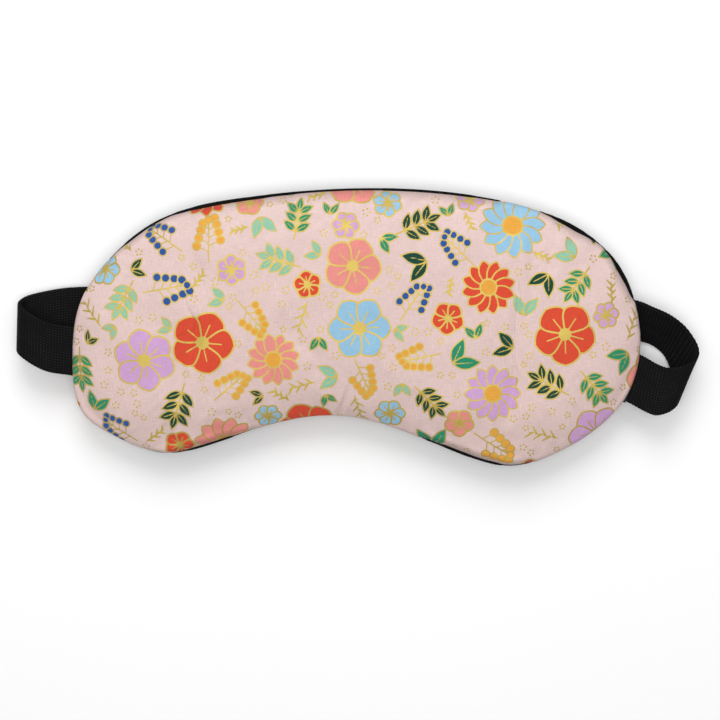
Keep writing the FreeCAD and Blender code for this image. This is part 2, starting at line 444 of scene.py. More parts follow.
def lay_flat(thing, flat, near_count):
    """Texture layout from the flat cloth: the near sheet above, the far one below."""
    place = np.stack([0.5 + flat[:, 0] / BAKE_SPAN, 0.75 + flat[:, 1] / BAKE_SPAN], axis=1)
    place[near_count:, 1] -= 0.5
    corners = whole_numbers(thing.data.loops, "vertex_index")
    totals = whole_numbers(thing.data.polygons, "loop_total")
    face = np.repeat(np.arange(len(totals)), totals)
    far = corners >= near_count
    some = np.bincount(face, far, len(totals))
    strip = (some > 0) & (some < totals)
    on_strip = strip[face] & ~far
    corners[on_strip] += near_count
    layer = thing.data.uv_layers.new(name="OFBake")
    layer.data.foreach_set("uv", place[corners].astype(np.float32).ravel())


def cloth_lengths(points, rim):
    """Where each point lies on its cloth laid flat: x, z measured along the surface."""
    step = np.linalg.norm(np.diff(points, axis=1), axis=2)
    from_spine = np.concatenate([np.cumsum(step[:, ::-1], axis=1)[:, ::-1],
                                 np.zeros((len(points), 1))], axis=1)
    spine = on_spine(rim)
    return spine[:, None] + unit(rim - spine)[:, None] * from_spine[..., None]


def fine_part(sheet, height, reach=9.0):
    """What is left of the heights once the large, smooth form is taken away."""
    spots = sheet[..., [0, 2]].reshape(-1, 2)
    form = np.stack([np.ones(height.size), sheet[..., 1].ravel()], axis=1)
    rest = height.ravel() - form @ np.linalg.lstsq(form, height.ravel(), rcond=None)[0]
    smooth = np.zeros_like(rest)
    for start in range(0, len(spots), 400):
        gap = ((spots[start:start + 400, None] - spots[None]) ** 2).sum(2)
        weight = np.exp(-gap / (2 * reach ** 2))
        smooth[start:start + 400] = weight @ rest / weight.sum(1)
    fine = (rest - smooth).reshape(height.shape)
    fine[:, 0] = 0.0
    return fine


def add_wrinkles(points, wrinkles, factor):
    """Adds the wrinkles of the coarse pillow to the points of a finer cloth."""
    fine = resample(wrinkles, factor, True)
    fine = resample(fine.T, factor, False).T
    return raised(points, WRINKLE_SHARE * fine)


PILLOW_CLOTH = {
    "quality": 8, "mass": 0.3, "air_damping": 6.0,
    "tension_stiffness": 20, "compression_stiffness": 20,
    "shear_stiffness": 12, "bending_stiffness": 0.6,
    "tension_damping": 20, "compression_damping": 20,
    "shear_damping": 15, "bending_damping": 1.0,
    "use_pressure": True, "uniform_pressure_force": 8.0,
    "pin_stiffness": 1.0, "shrink_min": -0.012,
}
PILLOW_FRAMES = 20
PILLOW_START = 0.55          # depth of the pillow before it is blown up, as a share


def blow_up(pillow, pinned, start):
    """Runs the cloth simulation on a pillow and returns how far each point moves, in mm."""
    group = pillow.vertex_groups.new(name="seam")
    group.add(list(range(pinned)), 1.0, "REPLACE")
    cloth = pillow.modifiers.new("cloth", "CLOTH")
    for name, value in PILLOW_CLOTH.items():
        setattr(cloth.settings, name, value)
    cloth.settings.effector_weights.gravity = 0.0
    cloth.settings.vertex_group_mass = "seam"
    cloth.collision_settings.use_collision = False
    cloth.point_cache.frame_start = 1
    cloth.point_cache.frame_end = PILLOW_FRAMES
    for moment in range(1, PILLOW_FRAMES + 1):
        bpy.context.scene.frame_set(moment)
    solved = pillow.evaluated_get(bpy.context.evaluated_depsgraph_get())
    co = np.zeros(start.size, np.float32)
    solved.data.vertices.foreach_get("co", co)
    bpy.context.scene.frame_set(1)
    return np.clip(co.reshape(-1, 3) * 1000.0 - start, -CLOTH_TRAVEL, CLOTH_TRAVEL)


def puff_up():
    """Inflates a coarse pillow of the two cloths and returns the wrinkles of each, in mm."""
    coarse = Pad(1)
    level = np.zeros(coarse.count)
    sheets = [sheet_points(coarse.rim, level, rings, side)
              for rings, side in ((FRONT_RINGS, 1), (BACK_RINGS, -1))]
    for sheet in sheets:
        sheet[..., 1] = SEAM_Y + PILLOW_START * (sheet[..., 1] - SEAM_Y)
    front_vertices, back_vertices = (coarse.vertices(sheet) for sheet in sheets)
    shift = len(front_vertices) - coarse.count
    back_faces = [np.where(faces < coarse.count, faces, faces + shift)
                  for faces in coarse.faces(BACK_RINGS, False)]
    start = np.concatenate([front_vertices, back_vertices[coarse.count:]])
    pillow = build_mesh("pillow", start, [*coarse.faces(FRONT_RINGS, True), *back_faces])
    moved = blow_up(pillow, coarse.count, start)
    bpy.data.objects.remove(pillow)

    def as_grid(rings, first):
        """How far the points of one cloth move, by place round the rim and ring."""
        outer = moved[:coarse.count][None]
        centre_first = first + coarse.count * (rings - 1)
        inner = moved[first:centre_first].reshape(rings - 1, coarse.count, 3)
        centre = moved[centre_first + coarse.number[coarse.shared]][None]
        return np.concatenate([outer, inner, centre]).transpose(1, 0, 2)

    return [fine_part(sheet, sheet[..., 1] + as_grid(rings, first)[..., 1])
            for sheet, rings, first in ((sheets[0], FRONT_RINGS, coarse.count),
                                        (sheets[1], BACK_RINGS, len(front_vertices)))]


front_wrinkles, back_wrinkles = puff_up()
front_pad = Pad(FINE)
back_pad = Pad(FINE // 2)


def finished_sheet(pad, rings, factor, side, wrinkles):
    """Points of one cloth with its groove, puckers and wrinkles."""
    points = sheet_points(pad.rim, pad.roll, rings * factor, side)
    return add_wrinkles(cloth_ripple(seam_sink(points), side), wrinkles, factor)


front_points = finished_sheet(front_pad, FRONT_RINGS, FINE, 1, front_wrinkles)
back_points = finished_sheet(back_pad, BACK_RINGS, FINE // 2, -1, back_wrinkles)


# ---- print on the front cloth ---------------------------------------------------------------
def linear(*rgb):
    """sRGB 0-255 to linear."""
    c = np.array(rgb, float) / 255
    return np.where(c <= 0.04045, c / 12.92, ((c + 0.055) / 1.055) ** 2.4)


PINK = linear(221, 194, 189)
RED = linear(216, 74, 48)
CORAL = linear(228, 142, 134)
ORANGE = linear(226, 162, 64)
GREEN = linear(40, 140, 102)
DARK = linear(18, 66, 52)
NAVY = linear(44, 84, 152)
SKY = linear(147, 191, 218)
LILAC = linear(204, 160, 204)
MINT = linear(138, 194, 168)
GOLD_LINE = 0.33             # half width of most metallic outlines, mm
LINE_WEIGHT = 1.1            # how far the metallic strokes spread in the cloth
INK_EDGE = 0.35              # width over which a colour fades into the cloth
PRINT_CELL = 4.0             # cell of the grid that finds cloth points, mm
CELL_ROW = 4096              # more than the cells in one row of that grid


def gaps(p, a, b):
    """For points p and segments a to b: share along each, distance to it, and its direction."""
    way = b - a
    long = np.maximum((way ** 2).sum(1), 1e-9)
    t = np.clip(((p[:, None, :] - a[None]) * way[None]).sum(2) / long[None], 0, 1)
    gap = np.hypot(*(p[:, None, :] - a[None] - t[..., None] * way[None]).transpose(2, 0, 1))
    return t, gap, way


class Print:
    """Paints coloured shapes and metallic lines on points of the flat cloth, x, z in mm."""

    def __init__(self, cloth):
        self.cloth = cloth
        self.ink = np.tile(PINK, (len(cloth), 1))
        self.gold = np.full(len(cloth), -1.0)
        cell = np.floor(cloth / PRINT_CELL).astype(int)
        self.order = np.lexsort((cell[:, 1], cell[:, 0]))
        keys = cell[self.order]
        code = keys[:, 0] * CELL_ROW + keys[:, 1]
        starts = np.flatnonzero(np.concatenate([[True], np.diff(code) != 0]))
        ends = np.append(starts[1:], len(code))
        self.cells = {int(code[s]): self.order[s:e] for s, e in zip(starts, ends)}

    def near(self, points, margin):
        """Indices of cloth points in the box around some points."""
        low = np.floor((points.min(0) - margin) / PRINT_CELL).astype(int)
        high = np.floor((points.max(0) + margin) / PRINT_CELL).astype(int)
        codes = [i * CELL_ROW + j for i in range(low[0], high[0] + 1)
                 for j in range(low[1], high[1] + 1)]
        found = [self.cells[code] for code in codes if code in self.cells]
        return np.concatenate(found) if found else np.zeros(0, int)

    def lines(self, points, half, taper=0.0):
        """A metallic stroke along the points."""
        points = np.asarray(points, float)
        index = self.near(points, half + 0.5)
        p = self.cloth[index]
        t, gap, _ = gaps(p, points[:-1], points[1:])
        along = (np.arange(len(points) - 1)[None] + t) / (len(points) - 1)
        depth = (LINE_WEIGHT * half * (1 - taper * along) - gap).max(1)
        self.gold[index] = np.maximum(self.gold[index], depth)

    def cover(self, index, depth, colour, line):
        """Fills where depth > 0, hides what was printed there before and draws the outline."""
        self.gold[index] = np.minimum(self.gold[index], -depth)
        share = np.clip(depth / INK_EDGE + 0.5, 0, 1)[:, None]
        self.ink[index] = self.ink[index] * (1 - share) + colour * share
        self.gold[index] = np.maximum(self.gold[index], line - np.abs(depth))

    def shape(self, points, colour, line=GOLD_LINE):
        """A filled closed shape with a metallic outline."""
        points = np.asarray(points, float)
        index = self.near(points, line + 0.5)
        p = self.cloth[index]
        a, b = points, np.roll(points, -1, axis=0)
        _, gap, way = gaps(p, a, b)
        crosses = (a[None, :, 1] > p[:, 1:2]) != (b[None, :, 1] > p[:, 1:2])
        rise = np.where(np.abs(way[:, 1]) < 1e-9, 1e-9, way[:, 1])
        at_x = a[None, :, 0] + (p[:, 1:2] - a[None, :, 1]) * (way[:, 0] / rise)[None]
        inside = (crosses & (p[:, 0:1] < at_x)).sum(1) % 2 == 1
        depth = gap.min(1) * np.where(inside, 1, -1)
        self.cover(index, depth, colour, line)

    def dot(self, place, radius, colour=None, line=GOLD_LINE):
        """A round dot: metallic, or coloured with a metallic outline."""
        place = np.asarray(place, float)
        index = self.near(place[None], radius + 0.6)
        depth = radius - np.hypot(*(self.cloth[index] - place).T)
        if colour is None:
            self.gold[index] = np.maximum(self.gold[index], depth)
        else:
            self.cover(index, depth, colour, line)


def turned(points, angle, foot=(0, 0)):
    """Points turned clockwise by an angle in degrees and then moved to a foot."""
    points = np.atleast_2d(np.asarray(points, float))
    c, s = math.cos(math.radians(angle)), math.sin(math.radians(angle))
    return np.stack([points[:, 0] * c + points[:, 1] * s,
                     points[:, 1] * c - points[:, 0] * s], axis=1) + foot


def blade(length, width, belly, blunt):
    """Outline of a leaf or petal from (0, 0) to (0, length); a low blunt rounds its tip."""
    t = np.linspace(0, 1, 25)
    half = width / 2 * np.sin(math.pi * t ** (math.log(0.5) / math.log(belly))) ** blunt
    left = np.stack([-half, t * length], axis=1)
    right = np.stack([half, t * length], axis=1)[::-1]
    return np.concatenate([left, right[1:-1]])


# Each motif below takes spot, which turns its points and moves them to their place on the cloth.
def leaf(canvas, spot, foot, angle, length, colour):
    """A plain leaf with a midrib."""
    canvas.shape(spot(turned(blade(length, 0.46 * length, 0.45, 1.0), angle, foot)), colour, 0.24)
    canvas.lines(spot(turned([(0, 0), (0, 0.7 * length)], angle, foot)), 0.2, 0.4)


def blossom(canvas, spot, radius, number):
    """A simple open flower of rounded petals."""
    petals = 5 + number % 2
    for k in range(petals):
        petal = blade(radius, 1.55 * radius * math.sin(math.pi / petals), 0.64, 0.7)
        canvas.shape(spot(turned(petal, 360 / petals * k)), BLOOMS[number % len(BLOOMS)])
        canvas.lines(spot(turned([(0, 0.2 * radius), (0, 0.6 * radius)], 360 / petals * k)), 0.22)
    canvas.dot(spot([(0, 0)])[0], 0.2 * radius)


def daisy(canvas, spot, radius, number):
    """A ring of narrow petals round a coloured heart."""
    petals = 12
    for k in range(petals):
        petal = blade(radius, 0.46 * radius, 0.6, 0.7)
        canvas.shape(spot(turned(petal, 360 / petals * k)), BLOOMS[(number + 2) % len(BLOOMS)], 0.28)
    canvas.dot(spot([(0, 0)])[0], 0.3 * radius, ORANGE)


def leaf_twig(canvas, spot, radius, number):
    """A stem with pairs of leaves and one at its tip."""
    colour = LEAVES[number % len(LEAVES)]
    canvas.lines(spot([(0, -radius), (0, 0.5 * radius)]), 0.27)
    for height in (-0.6, -0.15, 0.3):
        for side in (-1, 1):
            leaf(canvas, spot, (0, height * radius), 54 * side, 0.78 * radius, colour)
    leaf(canvas, spot, (0, 0.4 * radius), 0, 0.7 * radius, colour)


def berry_twig(canvas, spot, radius, number):
    """A forked stem with round berries."""
    colour = BERRIES[number % len(BERRIES)]
    canvas.lines(spot([(0, -radius), (0, 0.8 * radius)]), 0.24)
    for k, height in enumerate((-0.45, -0.1, 0.25, 0.55)):
        for side in (-1, 1):
            rise = height + 0.12 * side
            tip = (side * (0.52 - 0.09 * k) * radius, (rise + 0.26) * radius)
            canvas.lines(spot([(0, rise * radius), tip]), 0.2)
            canvas.dot(spot([tip])[0], 0.18 * radius, colour, 0.24)
    canvas.dot(spot([(0, 0.86 * radius)])[0], 0.16 * radius, colour, 0.24)


def metal_twig(canvas, spot, radius, number):
    """A thin twig with small leaflets, all in metallic line."""
    canvas.lines(spot([(0, -radius), (0, radius)]), 0.2, 0.3)
    for k in range(6):
        side = -1 if k % 2 else 1
        foot = (0, radius * (0.3 * k - 0.75))
        canvas.lines(spot([foot, (side * 0.42 * radius, foot[1] + 0.38 * radius)]), 0.42, 0.5)


def leaf_pair(canvas, spot, radius, number):
    """Two leaves from one foot."""
    for side in (-1, 1):
        leaf(canvas, spot, (0, -0.7 * radius), 32 * side, 1.6 * radius, LEAVES[number % len(LEAVES)])


def metal_dots(canvas, spot, radius, number):
    """A small ring of metallic dots."""
    for k in range(5):
        canvas.dot(spot(turned([(0, 0.6 * radius)], 72 * k))[0], 0.4)


BLOOMS = [RED, SKY, CORAL, LILAC]
LEAVES = [GREEN, DARK, MINT]
BERRIES = [NAVY, ORANGE]
# Each layer of the print: its motifs, the range of their radii in mm, how many places are tried.
LAYERS = [
    ([blossom, daisy], (9.5, 12.0), 60),
    ([leaf_twig, berry_twig], (7.5, 9.0), 700),
    ([leaf_pair, metal_twig, blossom], (4.8, 6.4), 2000),
    ([metal_twig, leaf_pair], (3.2, 4.2), 2500),
    ([metal_dots], (1.6, 2.2), 4000),
]
CLOTH_HALF = (124, 66)       # half size of the printed area, mm
CROWDING = 0.96              # least distance between two motifs, as a share of their radii


def paint(canvas):
    """A generic all-over botanical print: plain motifs dropped at seeded random, the large first."""
    local = np.random.default_rng(5)
    taken = np.zeros((0, 3))
    for motifs, sizes, tries in LAYERS:
        count = 0
        for _ in range(tries):
            radius = local.uniform(*sizes)
            x, z = local.uniform(-1, 1, 2) * CLOTH_HALF
            turn = local.uniform(0, 360)
            gap = np.hypot(taken[:, 0] - x, taken[:, 1] - z)
            if np.any(gap < CROWDING * (taken[:, 2] + radius)):
                continue
            taken = np.concatenate([taken, [(x, z, radius)]])
            spot = partial(turned, angle=turn, foot=(x, z))
            motifs[count % len(motifs)](canvas, spot, radius, count // len(motifs))
            count += 1


canvas = Print(front_pad.vertices(cloth_lengths(front_points, front_pad.rim)))
paint(canvas)


# ---- cloths, wadding and lining -------------------------------------------------------------
def cloth_body(name, pad, outer, side, step):
    """One cloth with its thickness, and its flat coordinates for weave and print."""
    depth = FRONT_DOME if side > 0 else BACK_DOME
    inner = shrink(outer[:, ::step], pad.rim, CLOTH, 1 - CLOTH / depth)
    near, far = (outer, inner) if side > 0 else (inner, outer)
    thing = shell(name, pad, near, far)
    edges = [pad.vertices(from_seam(sheet)[..., None])[:, 0] for sheet in (near, far)]
    set_values(thing, "seam", "FLOAT", np.concatenate(edges))
    flats = [pad.vertices(cloth_lengths(sheet, pad.rim)) for sheet in (near, far)]
    flat = np.concatenate(flats)
    set_values(thing, "cloth", "FLOAT_VECTOR", np.insert(flat, 1, 0.0, axis=1) / 1000)
    lay_flat(thing, flat, len(flats[0]))
    return thing


front = cloth_body("front_cloth", front_pad, front_points, 1, FINE)
plain = len(front.data.vertices) - len(canvas.ink)
ink = np.concatenate([canvas.ink, np.tile(PINK, (plain, 1))])
set_values(front, "ink", "FLOAT_COLOR", np.insert(ink, 3, 1.0, axis=1))
set_values(front, "gold", "FLOAT", np.concatenate([canvas.gold, np.full(plain, -1.0)]))
back = cloth_body("back_cloth", back_pad, back_points, -1, FINE // 2)

# Wadding and lining: gap to the rim, then depths in front of or behind the seam plane, mm.
WADDING = (1.8, 8.7, 3.0)
LINING = (1.3, 3.4, 3.9)

half_pad = Pad(2)
front_half = front_points[::FINE // 2, ::FINE // 2]
back_half = back_points[::FINE // 4, ::FINE // 4]


def layer(points, full, rim_gap, depth):
    """A sheet inside the pad, at a depth from the seam plane under a cloth of full depth."""
    return shrink(points, half_pad.rim, rim_gap, depth / full)


fill = shell("wadding_fill", half_pad, layer(front_half, FRONT_DOME, WADDING[0], WADDING[1]),
             layer(back_half, BACK_DOME, WADDING[0], WADDING[2]))
lining = shell("lining_cloth", half_pad, layer(back_half, BACK_DOME, LINING[0], LINING[1]),
               layer(back_half, BACK_DOME, LINING[0], LINING[2]))


# ---- strap ----------------------------------------------------------------------------------
STRAP_WIDTH = 18.0
STRAP_THICK = 1.5
RIB = 1.06                   # pitch of the ribs that run across the strap
WALE = 0.95                  # pitch of the rows that run along it
WALES = 44                   # points across the strap
RIB_SWELL = 0.05             # height of the ribs
WALE_SWELL = 0.025           # height of the rows
EDGE_RIB = 0.09              # how far the ribs stand out at the two edges
EDGE_THIN = 0.28             # how much thinner each face is at the very edge
EDGE_SHARE = 0.06            # share of the half width over which it thins
ALONG = RIB / 4              # step along the strap
# How far from the middle of the mask the strap starts in the seam, leaves the front stretch, and
# becomes the back stretch.
STRAP_CUTS = (97, 113, 108)

# Middle line from inside the pad to the middle of the back: x, y, z, lean of the top outwards,
# lean of the top forwards (degrees).
STRAP_PATHS = {
    "left": [(96, -5, -13.6, 0, 0), (101, -5, -13.5, 0, 0), (105, -5.0, -13.3, 0, 0),
             (112, -6.9, -12.2, 0, 0), (117, -7.9, -10.0, 0, 0), (121.6, -6.9, -7.2, 0, 0),
             (123.5, -3.4, -5.4, 0, 0), (121.8, 0.0, -3.6, 0, 0), (117, 1.3, -2.0, 0, 0),
             (108, 1.5, 0.0, 0, 0), (98, 1.6, 1.0, 0, 0), (80, 1.6, 2.2, 0, 0),
             (60, 1.6, 3.4, 0, 0), (30, 1.6, 4.2, 0, 0), (0, 1.6, 5.0, 0, 0)],
    "right": [(96, -5, -12.0, 12, 0), (101, -5, -13.2, 12, 0), (105, -5.0, -14.8, 12, 0),
              (110, -6.6, -17.2, 10, 0), (114, -7.6, -18.2, 11, 0), (118.9, -8.0, -16.8, 14, 0),
              (122.3, -6.3, -14.2, 17, 6), (123.3, -3.6, -10.6, 20, 18),
              (121.6, -1.4, -5.6, 22, 32), (118.4, -0.9, -0.4, 17, 40),
              (113.6, -1.1, 3.4, 11, 42), (108, -1.3, 5.6, 6, 40),
              (102.5, -0.6, 6.5, 3, 28), (92, 1.0, 6.7, 1, 10), (76, 1.6, 6.7, 0, 0),
              (60, 1.6, 6.6, 0, 0), (30, 1.6, 5.8, 0, 0), (0, 1.6, 5.0, 0, 0)],
}


def strap_line(hand):
    """Evenly spaced places along the strap: middle, width direction, face direction, length."""
    side = -1 if hand == "left" else 1
    table = np.array(STRAP_PATHS[hand], float)
    fine = resample(table, 60, False)
    middle = fine[:, :3] * (side, 1, 1)
    length = running(np.hypot(*np.diff(middle[:, :2], axis=0).T))
    count = int(length[-1] / ALONG)
    marks = np.linspace(0, length[-1], count + 1)
    middle = at_lengths(marks, length, middle)
    lean, forward = np.radians(at_lengths(marks, length, fine[:, 3:])).T
    across = np.stack([side * np.sin(lean) * np.cos(forward), -np.sin(forward),
                       np.cos(lean) * np.cos(forward)], axis=1)
    face = unit(np.cross(across, unit(np.gradient(middle, axis=0))) * side)
    return middle, across, face, marks


def ribbon_ring():
    """Places round a cut through the strap: -1 to 1 across its width and through its thickness."""
    place = np.linspace(-1, 1, WALES + 1)
    edge = [(1.008, 0.55), (1.012, 0.0), (1.008, -0.55)]
    ring = ([(p, 1.0) for p in place] + edge + [(p, -1.0) for p in place[::-1]]
            + [(-a, -t) for a, t in edge])
    return np.array(ring).T


def ribbon_faces(rows, n):
    """Quads along a ribbon of rows of n points, and a row of quads that closes each end."""
    i = np.arange(rows - 1)[:, None] * n
    j = np.arange(n)[None]
    k = (j + 1) % n
    quads = np.stack([i + j, i + k, i + n + k, i + n + j], axis=2).reshape(-1, 4)
    c = np.arange(n // 2 - 1)
    cap = np.stack([c, c + 1, n - 2 - c, n - 1 - c], axis=1)
    return [quads, cap[:, ::-1], cap + (rows - 1) * n]


def strap_piece(name, hand, start, end):
    """The stretch of strap between two lengths, as a closed ribbed ribbon."""
    middle, across, face, marks = strap_line(hand)
    first, last = (int(np.argmin(np.abs(marks - place))) for place in (start, end))
    kept = slice(first, last + 1)
    middle, across, face, marks = middle[kept], across[kept], face[kept], marks[kept]
    a, t = ribbon_ring()
    rib = np.cos(2 * math.pi * marks / RIB)
    edge = np.clip((np.abs(a) - (1 - EDGE_SHARE)) / EDGE_SHARE, 0, 1)
    wale = np.cos(2 * math.pi * a * STRAP_WIDTH / 2 / WALE)
    swell = RIB_SWELL * rib[:, None] * (1 - 0.5 * edge) + WALE_SWELL * wale
    half_width = STRAP_WIDTH / 2 * a + np.sign(a) * EDGE_RIB * edge * rib[:, None]
    thick = (STRAP_THICK / 2 - EDGE_THIN * edge ** 2 + swell) * t
    points = (middle[:, None] + across[:, None] * half_width[..., None]
              + face[:, None] * thick[..., None])
    rows, n = points.shape[:2]
    thing = build_mesh(name, points.reshape(-1, 3), ribbon_faces(rows, n))
    thing.data.set_sharp_from_angle(angle=SHARP_EDGE)
    weave = np.stack([np.repeat(marks, n), np.tile(a * STRAP_WIDTH / 2, rows), np.zeros(rows * n)],
                     axis=1)
    set_values(thing, "cloth", "FLOAT_VECTOR", weave / 1000)
    return thing


def length_at(hand, x, first):
    """Length along the strap where it passes a distance from the middle, on the way out or back."""
    middle, _, _, marks = strap_line(hand)
    out = int(np.argmax(np.abs(middle[:, 0])))
    part = slice(0, out) if first else slice(out, len(marks))
    values = np.abs(middle[part, 0])
    order = np.argsort(values)
    return float(np.interp(x, values[order], marks[part][order]))


straps = {}
for hand in ("left", "right"):
    inner, out = (length_at(hand, x, True) for x in STRAP_CUTS[:2])
    home = length_at(hand, STRAP_CUTS[2], False)
    total = float(strap_line(hand)[3][-1])
    straps[hand] = [
        strap_piece("elastic_seam_" + hand, hand, inner, out),
        strap_piece("elastic_loop_" + hand, hand, out, home),
        strap_piece("elastic_back_" + hand, hand, home, total),
    ]


# ---- materials ------------------------------------------------------------------------------
class Graph:
    """Short ways to add and join the nodes of a material or a world."""

    def __init__(self, tree):
        self.nodes, self.links = tree.nodes, tree.links

    def add(self, kind):
        return self.nodes.new("ShaderNode" + kind)

    def feed(self, socket, value):
        """Joins a socket to another node's output, or sets its number or colour."""
        if isinstance(value, bpy.types.NodeSocket):
            self.links.new(value, socket)
        elif isinstance(value, (int, float)):
            socket.default_value = value
        else:
            socket.default_value = (*value, 1.0)

    def attribute(self, name, output="Fac"):
        node = self.add("Attribute")
        node.attribute_name = name
        return node.outputs[output]

    def noise(self, source, scale, squash=(1.0, 1.0, 1.0), detail=3.0):
        """Noise whose grain may be longer along one direction, like yarn."""
        mapping = self.add("Mapping")
        mapping.inputs["Scale"].default_value = squash
        noise = self.add("TexNoise")
        noise.inputs["Scale"].default_value = scale
        noise.inputs["Detail"].default_value = detail
        noise.inputs["Roughness"].default_value = 0.6
        self.links.new(source, mapping.inputs["Vector"])
        self.links.new(mapping.outputs[0], noise.inputs["Vector"])
        return noise.outputs["Fac"]

    def math(self, operation, *values):
        node = self.add("Math")
        node.operation = operation
        for socket, value in zip(node.inputs, values):
            self.feed(socket, value)
        return node.outputs[0]

    def ramp(self, value, low, high, out_low=0.0, out_high=1.0):
        node = self.add("MapRange")
        for key, number in zip(("From Min", "From Max", "To Min", "To Max"),
                               (low, high, out_low, out_high)):
            node.inputs[key].default_value = number
        self.links.new(value, node.inputs["Value"])
        return node.outputs["Result"]

    def mix(self, share, a, b, blend="MIX"):
        """Blends two colours."""
        node = self.add("Mix")
        node.data_type = "RGBA"
        node.blend_type = blend
        node.clamp_factor = True
        for key, value in ((0, share), (6, a), (7, b)):
            self.feed(node.inputs[key], value)
        return node.outputs[2]

    def bump(self, height, strength, distance):
        node = self.add("Bump")
        node.inputs["Strength"].default_value = strength
        node.inputs["Distance"].default_value = distance
        self.links.new(height, node.inputs["Height"])
        return node.outputs[0]

    def weave(self, place, wide, narrow):
        """Yarns that cross: the product of two noises stretched along and across."""
        warp = self.noise(place, 1000, (wide, 1.0, narrow))
        weft = self.noise(place, 1000, (narrow, 1.0, wide))
        return self.math("MULTIPLY", warp, weft)


class Material(Graph):
    """A material with one plain shader."""

    def __init__(self, name):
        self.made = bpy.data.materials.new(name)
        self.made.use_nodes = True
        super().__init__(self.made.node_tree)
        self.nodes.clear()
        self.output = self.add("OutputMaterial")
        self.shader = self.add("BsdfPrincipled")
        self.links.new(self.shader.outputs[0], self.output.inputs[0])

    def finished(self, inputs):
        for name, value in inputs.items():
            self.feed(self.shader.inputs[name], value)
        return self.made


def printed_cotton():
    """Pink plain weave with a coloured print and foil-like lines; painted shade darkens the cloth and
    the foil next to the seam.
    """
    graph = Material("printed_cotton")
    place = graph.attribute("cloth", "Vector")
    from_edge = graph.attribute("seam")
    yarn = graph.weave(place, 3.2, 0.3)
    # painted shade: the cloth gets darker over the last 4.5 mm to the seam, standing in for the shade
    # at the seam
    shade = graph.math("MULTIPLY", graph.ramp(yarn, 0.12, 0.42, 0.80, 1.01),
                       graph.ramp(from_edge, 0.0, 4.5, 0.55, 1.0))
    shaded = graph.mix(1.0, graph.attribute("ink", "Color"), shade, "MULTIPLY")
    line = graph.math("MULTIPLY_ADD", yarn, 0.5, graph.math("ADD", graph.attribute("gold"), -0.12))
    foil = graph.ramp(line, -0.07, 0.07)
    gold = graph.mix(graph.noise(place, 160, detail=4), linear(178, 150, 64), linear(218, 194, 100))
    # painted shade: the foil darkens over its last 17 mm to the rim, standing in for a dimmer
    # reflection there
    gold = graph.mix(1.0, gold, graph.ramp(from_edge, 1.0, 17.0, 0.68, 1.0), "MULTIPLY")
    return graph.finished({
        "Base Color": graph.mix(foil, shaded, gold),
        "Metallic": graph.math("MULTIPLY", foil, 0.3),
        "Roughness": graph.ramp(foil, 0, 1, 0.86, 0.5),
        "Sheen Weight": 0.08,
        "Specular IOR Level": 0.25,
        "Normal": graph.bump(yarn, 0.35, 0.0002),
    })


def black_cloth():
    """Black plain weave with a slight fuzz; painted shade makes it darkest at the rolled edge."""
    graph = Material("black_cloth")
    place = graph.attribute("cloth", "Vector")
    yarn = graph.weave(place, 1.6, 0.3)
    fuzz = graph.noise(place, 90, detail=5)
    tone = graph.math("MULTIPLY", graph.ramp(yarn, 0.1, 0.45), graph.ramp(fuzz, 0.3, 0.7, 0.6, 1.0))
    # painted shade: the cloth darkens over the last 8 mm to the seam, deepest at the rolled edge
    tone = graph.math("MULTIPLY", tone, graph.ramp(graph.attribute("seam"), 2.0, 8.0, 0.1, 1.0))
    return graph.finished({
        "Base Color": graph.mix(tone, (0.002, 0.002, 0.0022), (0.016, 0.016, 0.018)),
        "Roughness": 0.9,
        "Sheen Weight": 0.01,
        "Sheen Roughness": 0.5,
        "Specular IOR Level": 0.05,
        "Normal": graph.bump(yarn, 0.5, 0.0003),
    })


def elastic():
    """Woven elastic: rows of small light dashes on black, with a fine grain."""
    graph = Material("elastic")
    place = graph.attribute("cloth", "Vector")
    split = graph.add("SeparateXYZ")
    graph.links.new(place, split.inputs[0])
    waves = [graph.math("COSINE", graph.math("MULTIPLY", split.outputs[axis],
                                             2 * math.pi / (pitch / 1000)))
             for axis, pitch in enumerate((RIB, WALE))]
    dash = graph.math("MULTIPLY", graph.ramp(waves[0], -0.2, 0.9, 0.12, 1.0),
                      graph.ramp(waves[1], 0.0, 0.9))
    grain = graph.noise(place, 1400, (1.0, 0.4, 1.0))
    wear = graph.noise(place, 150, (0.5, 1.0, 1.0))
    tone = graph.math("MULTIPLY", dash, graph.ramp(wear, 0.35, 0.7, 0.35, 1.0))
    tone = graph.math("MULTIPLY", tone, graph.ramp(grain, 0.3, 0.6, 0.4, 1.0))
    return graph.finished({
        "Base Color": graph.mix(tone, (0.0033, 0.0033, 0.0033), (0.034, 0.034, 0.034)),
        "Roughness": 0.75,
        "Specular IOR Level": 0.06,
        "Normal": graph.bump(graph.math("ADD", dash, grain), 0.5, 0.0002),
    })


def plain_fibre(name, dark, light, scale, rough):
    """Fibre or thread: mottled colour and a fuzzy bump in the object's own coordinates."""
    graph = Material(name)
    place = graph.add("TexCoord").outputs["Object"]
    grain = graph.noise(place, scale, detail=5)
    return graph.finished({
        "Base Color": graph.mix(grain, dark, light),
        "Roughness": rough,
        "Sheen Weight": 0.15,
        "Normal": graph.bump(grain, 0.4, 0.0003),
    })


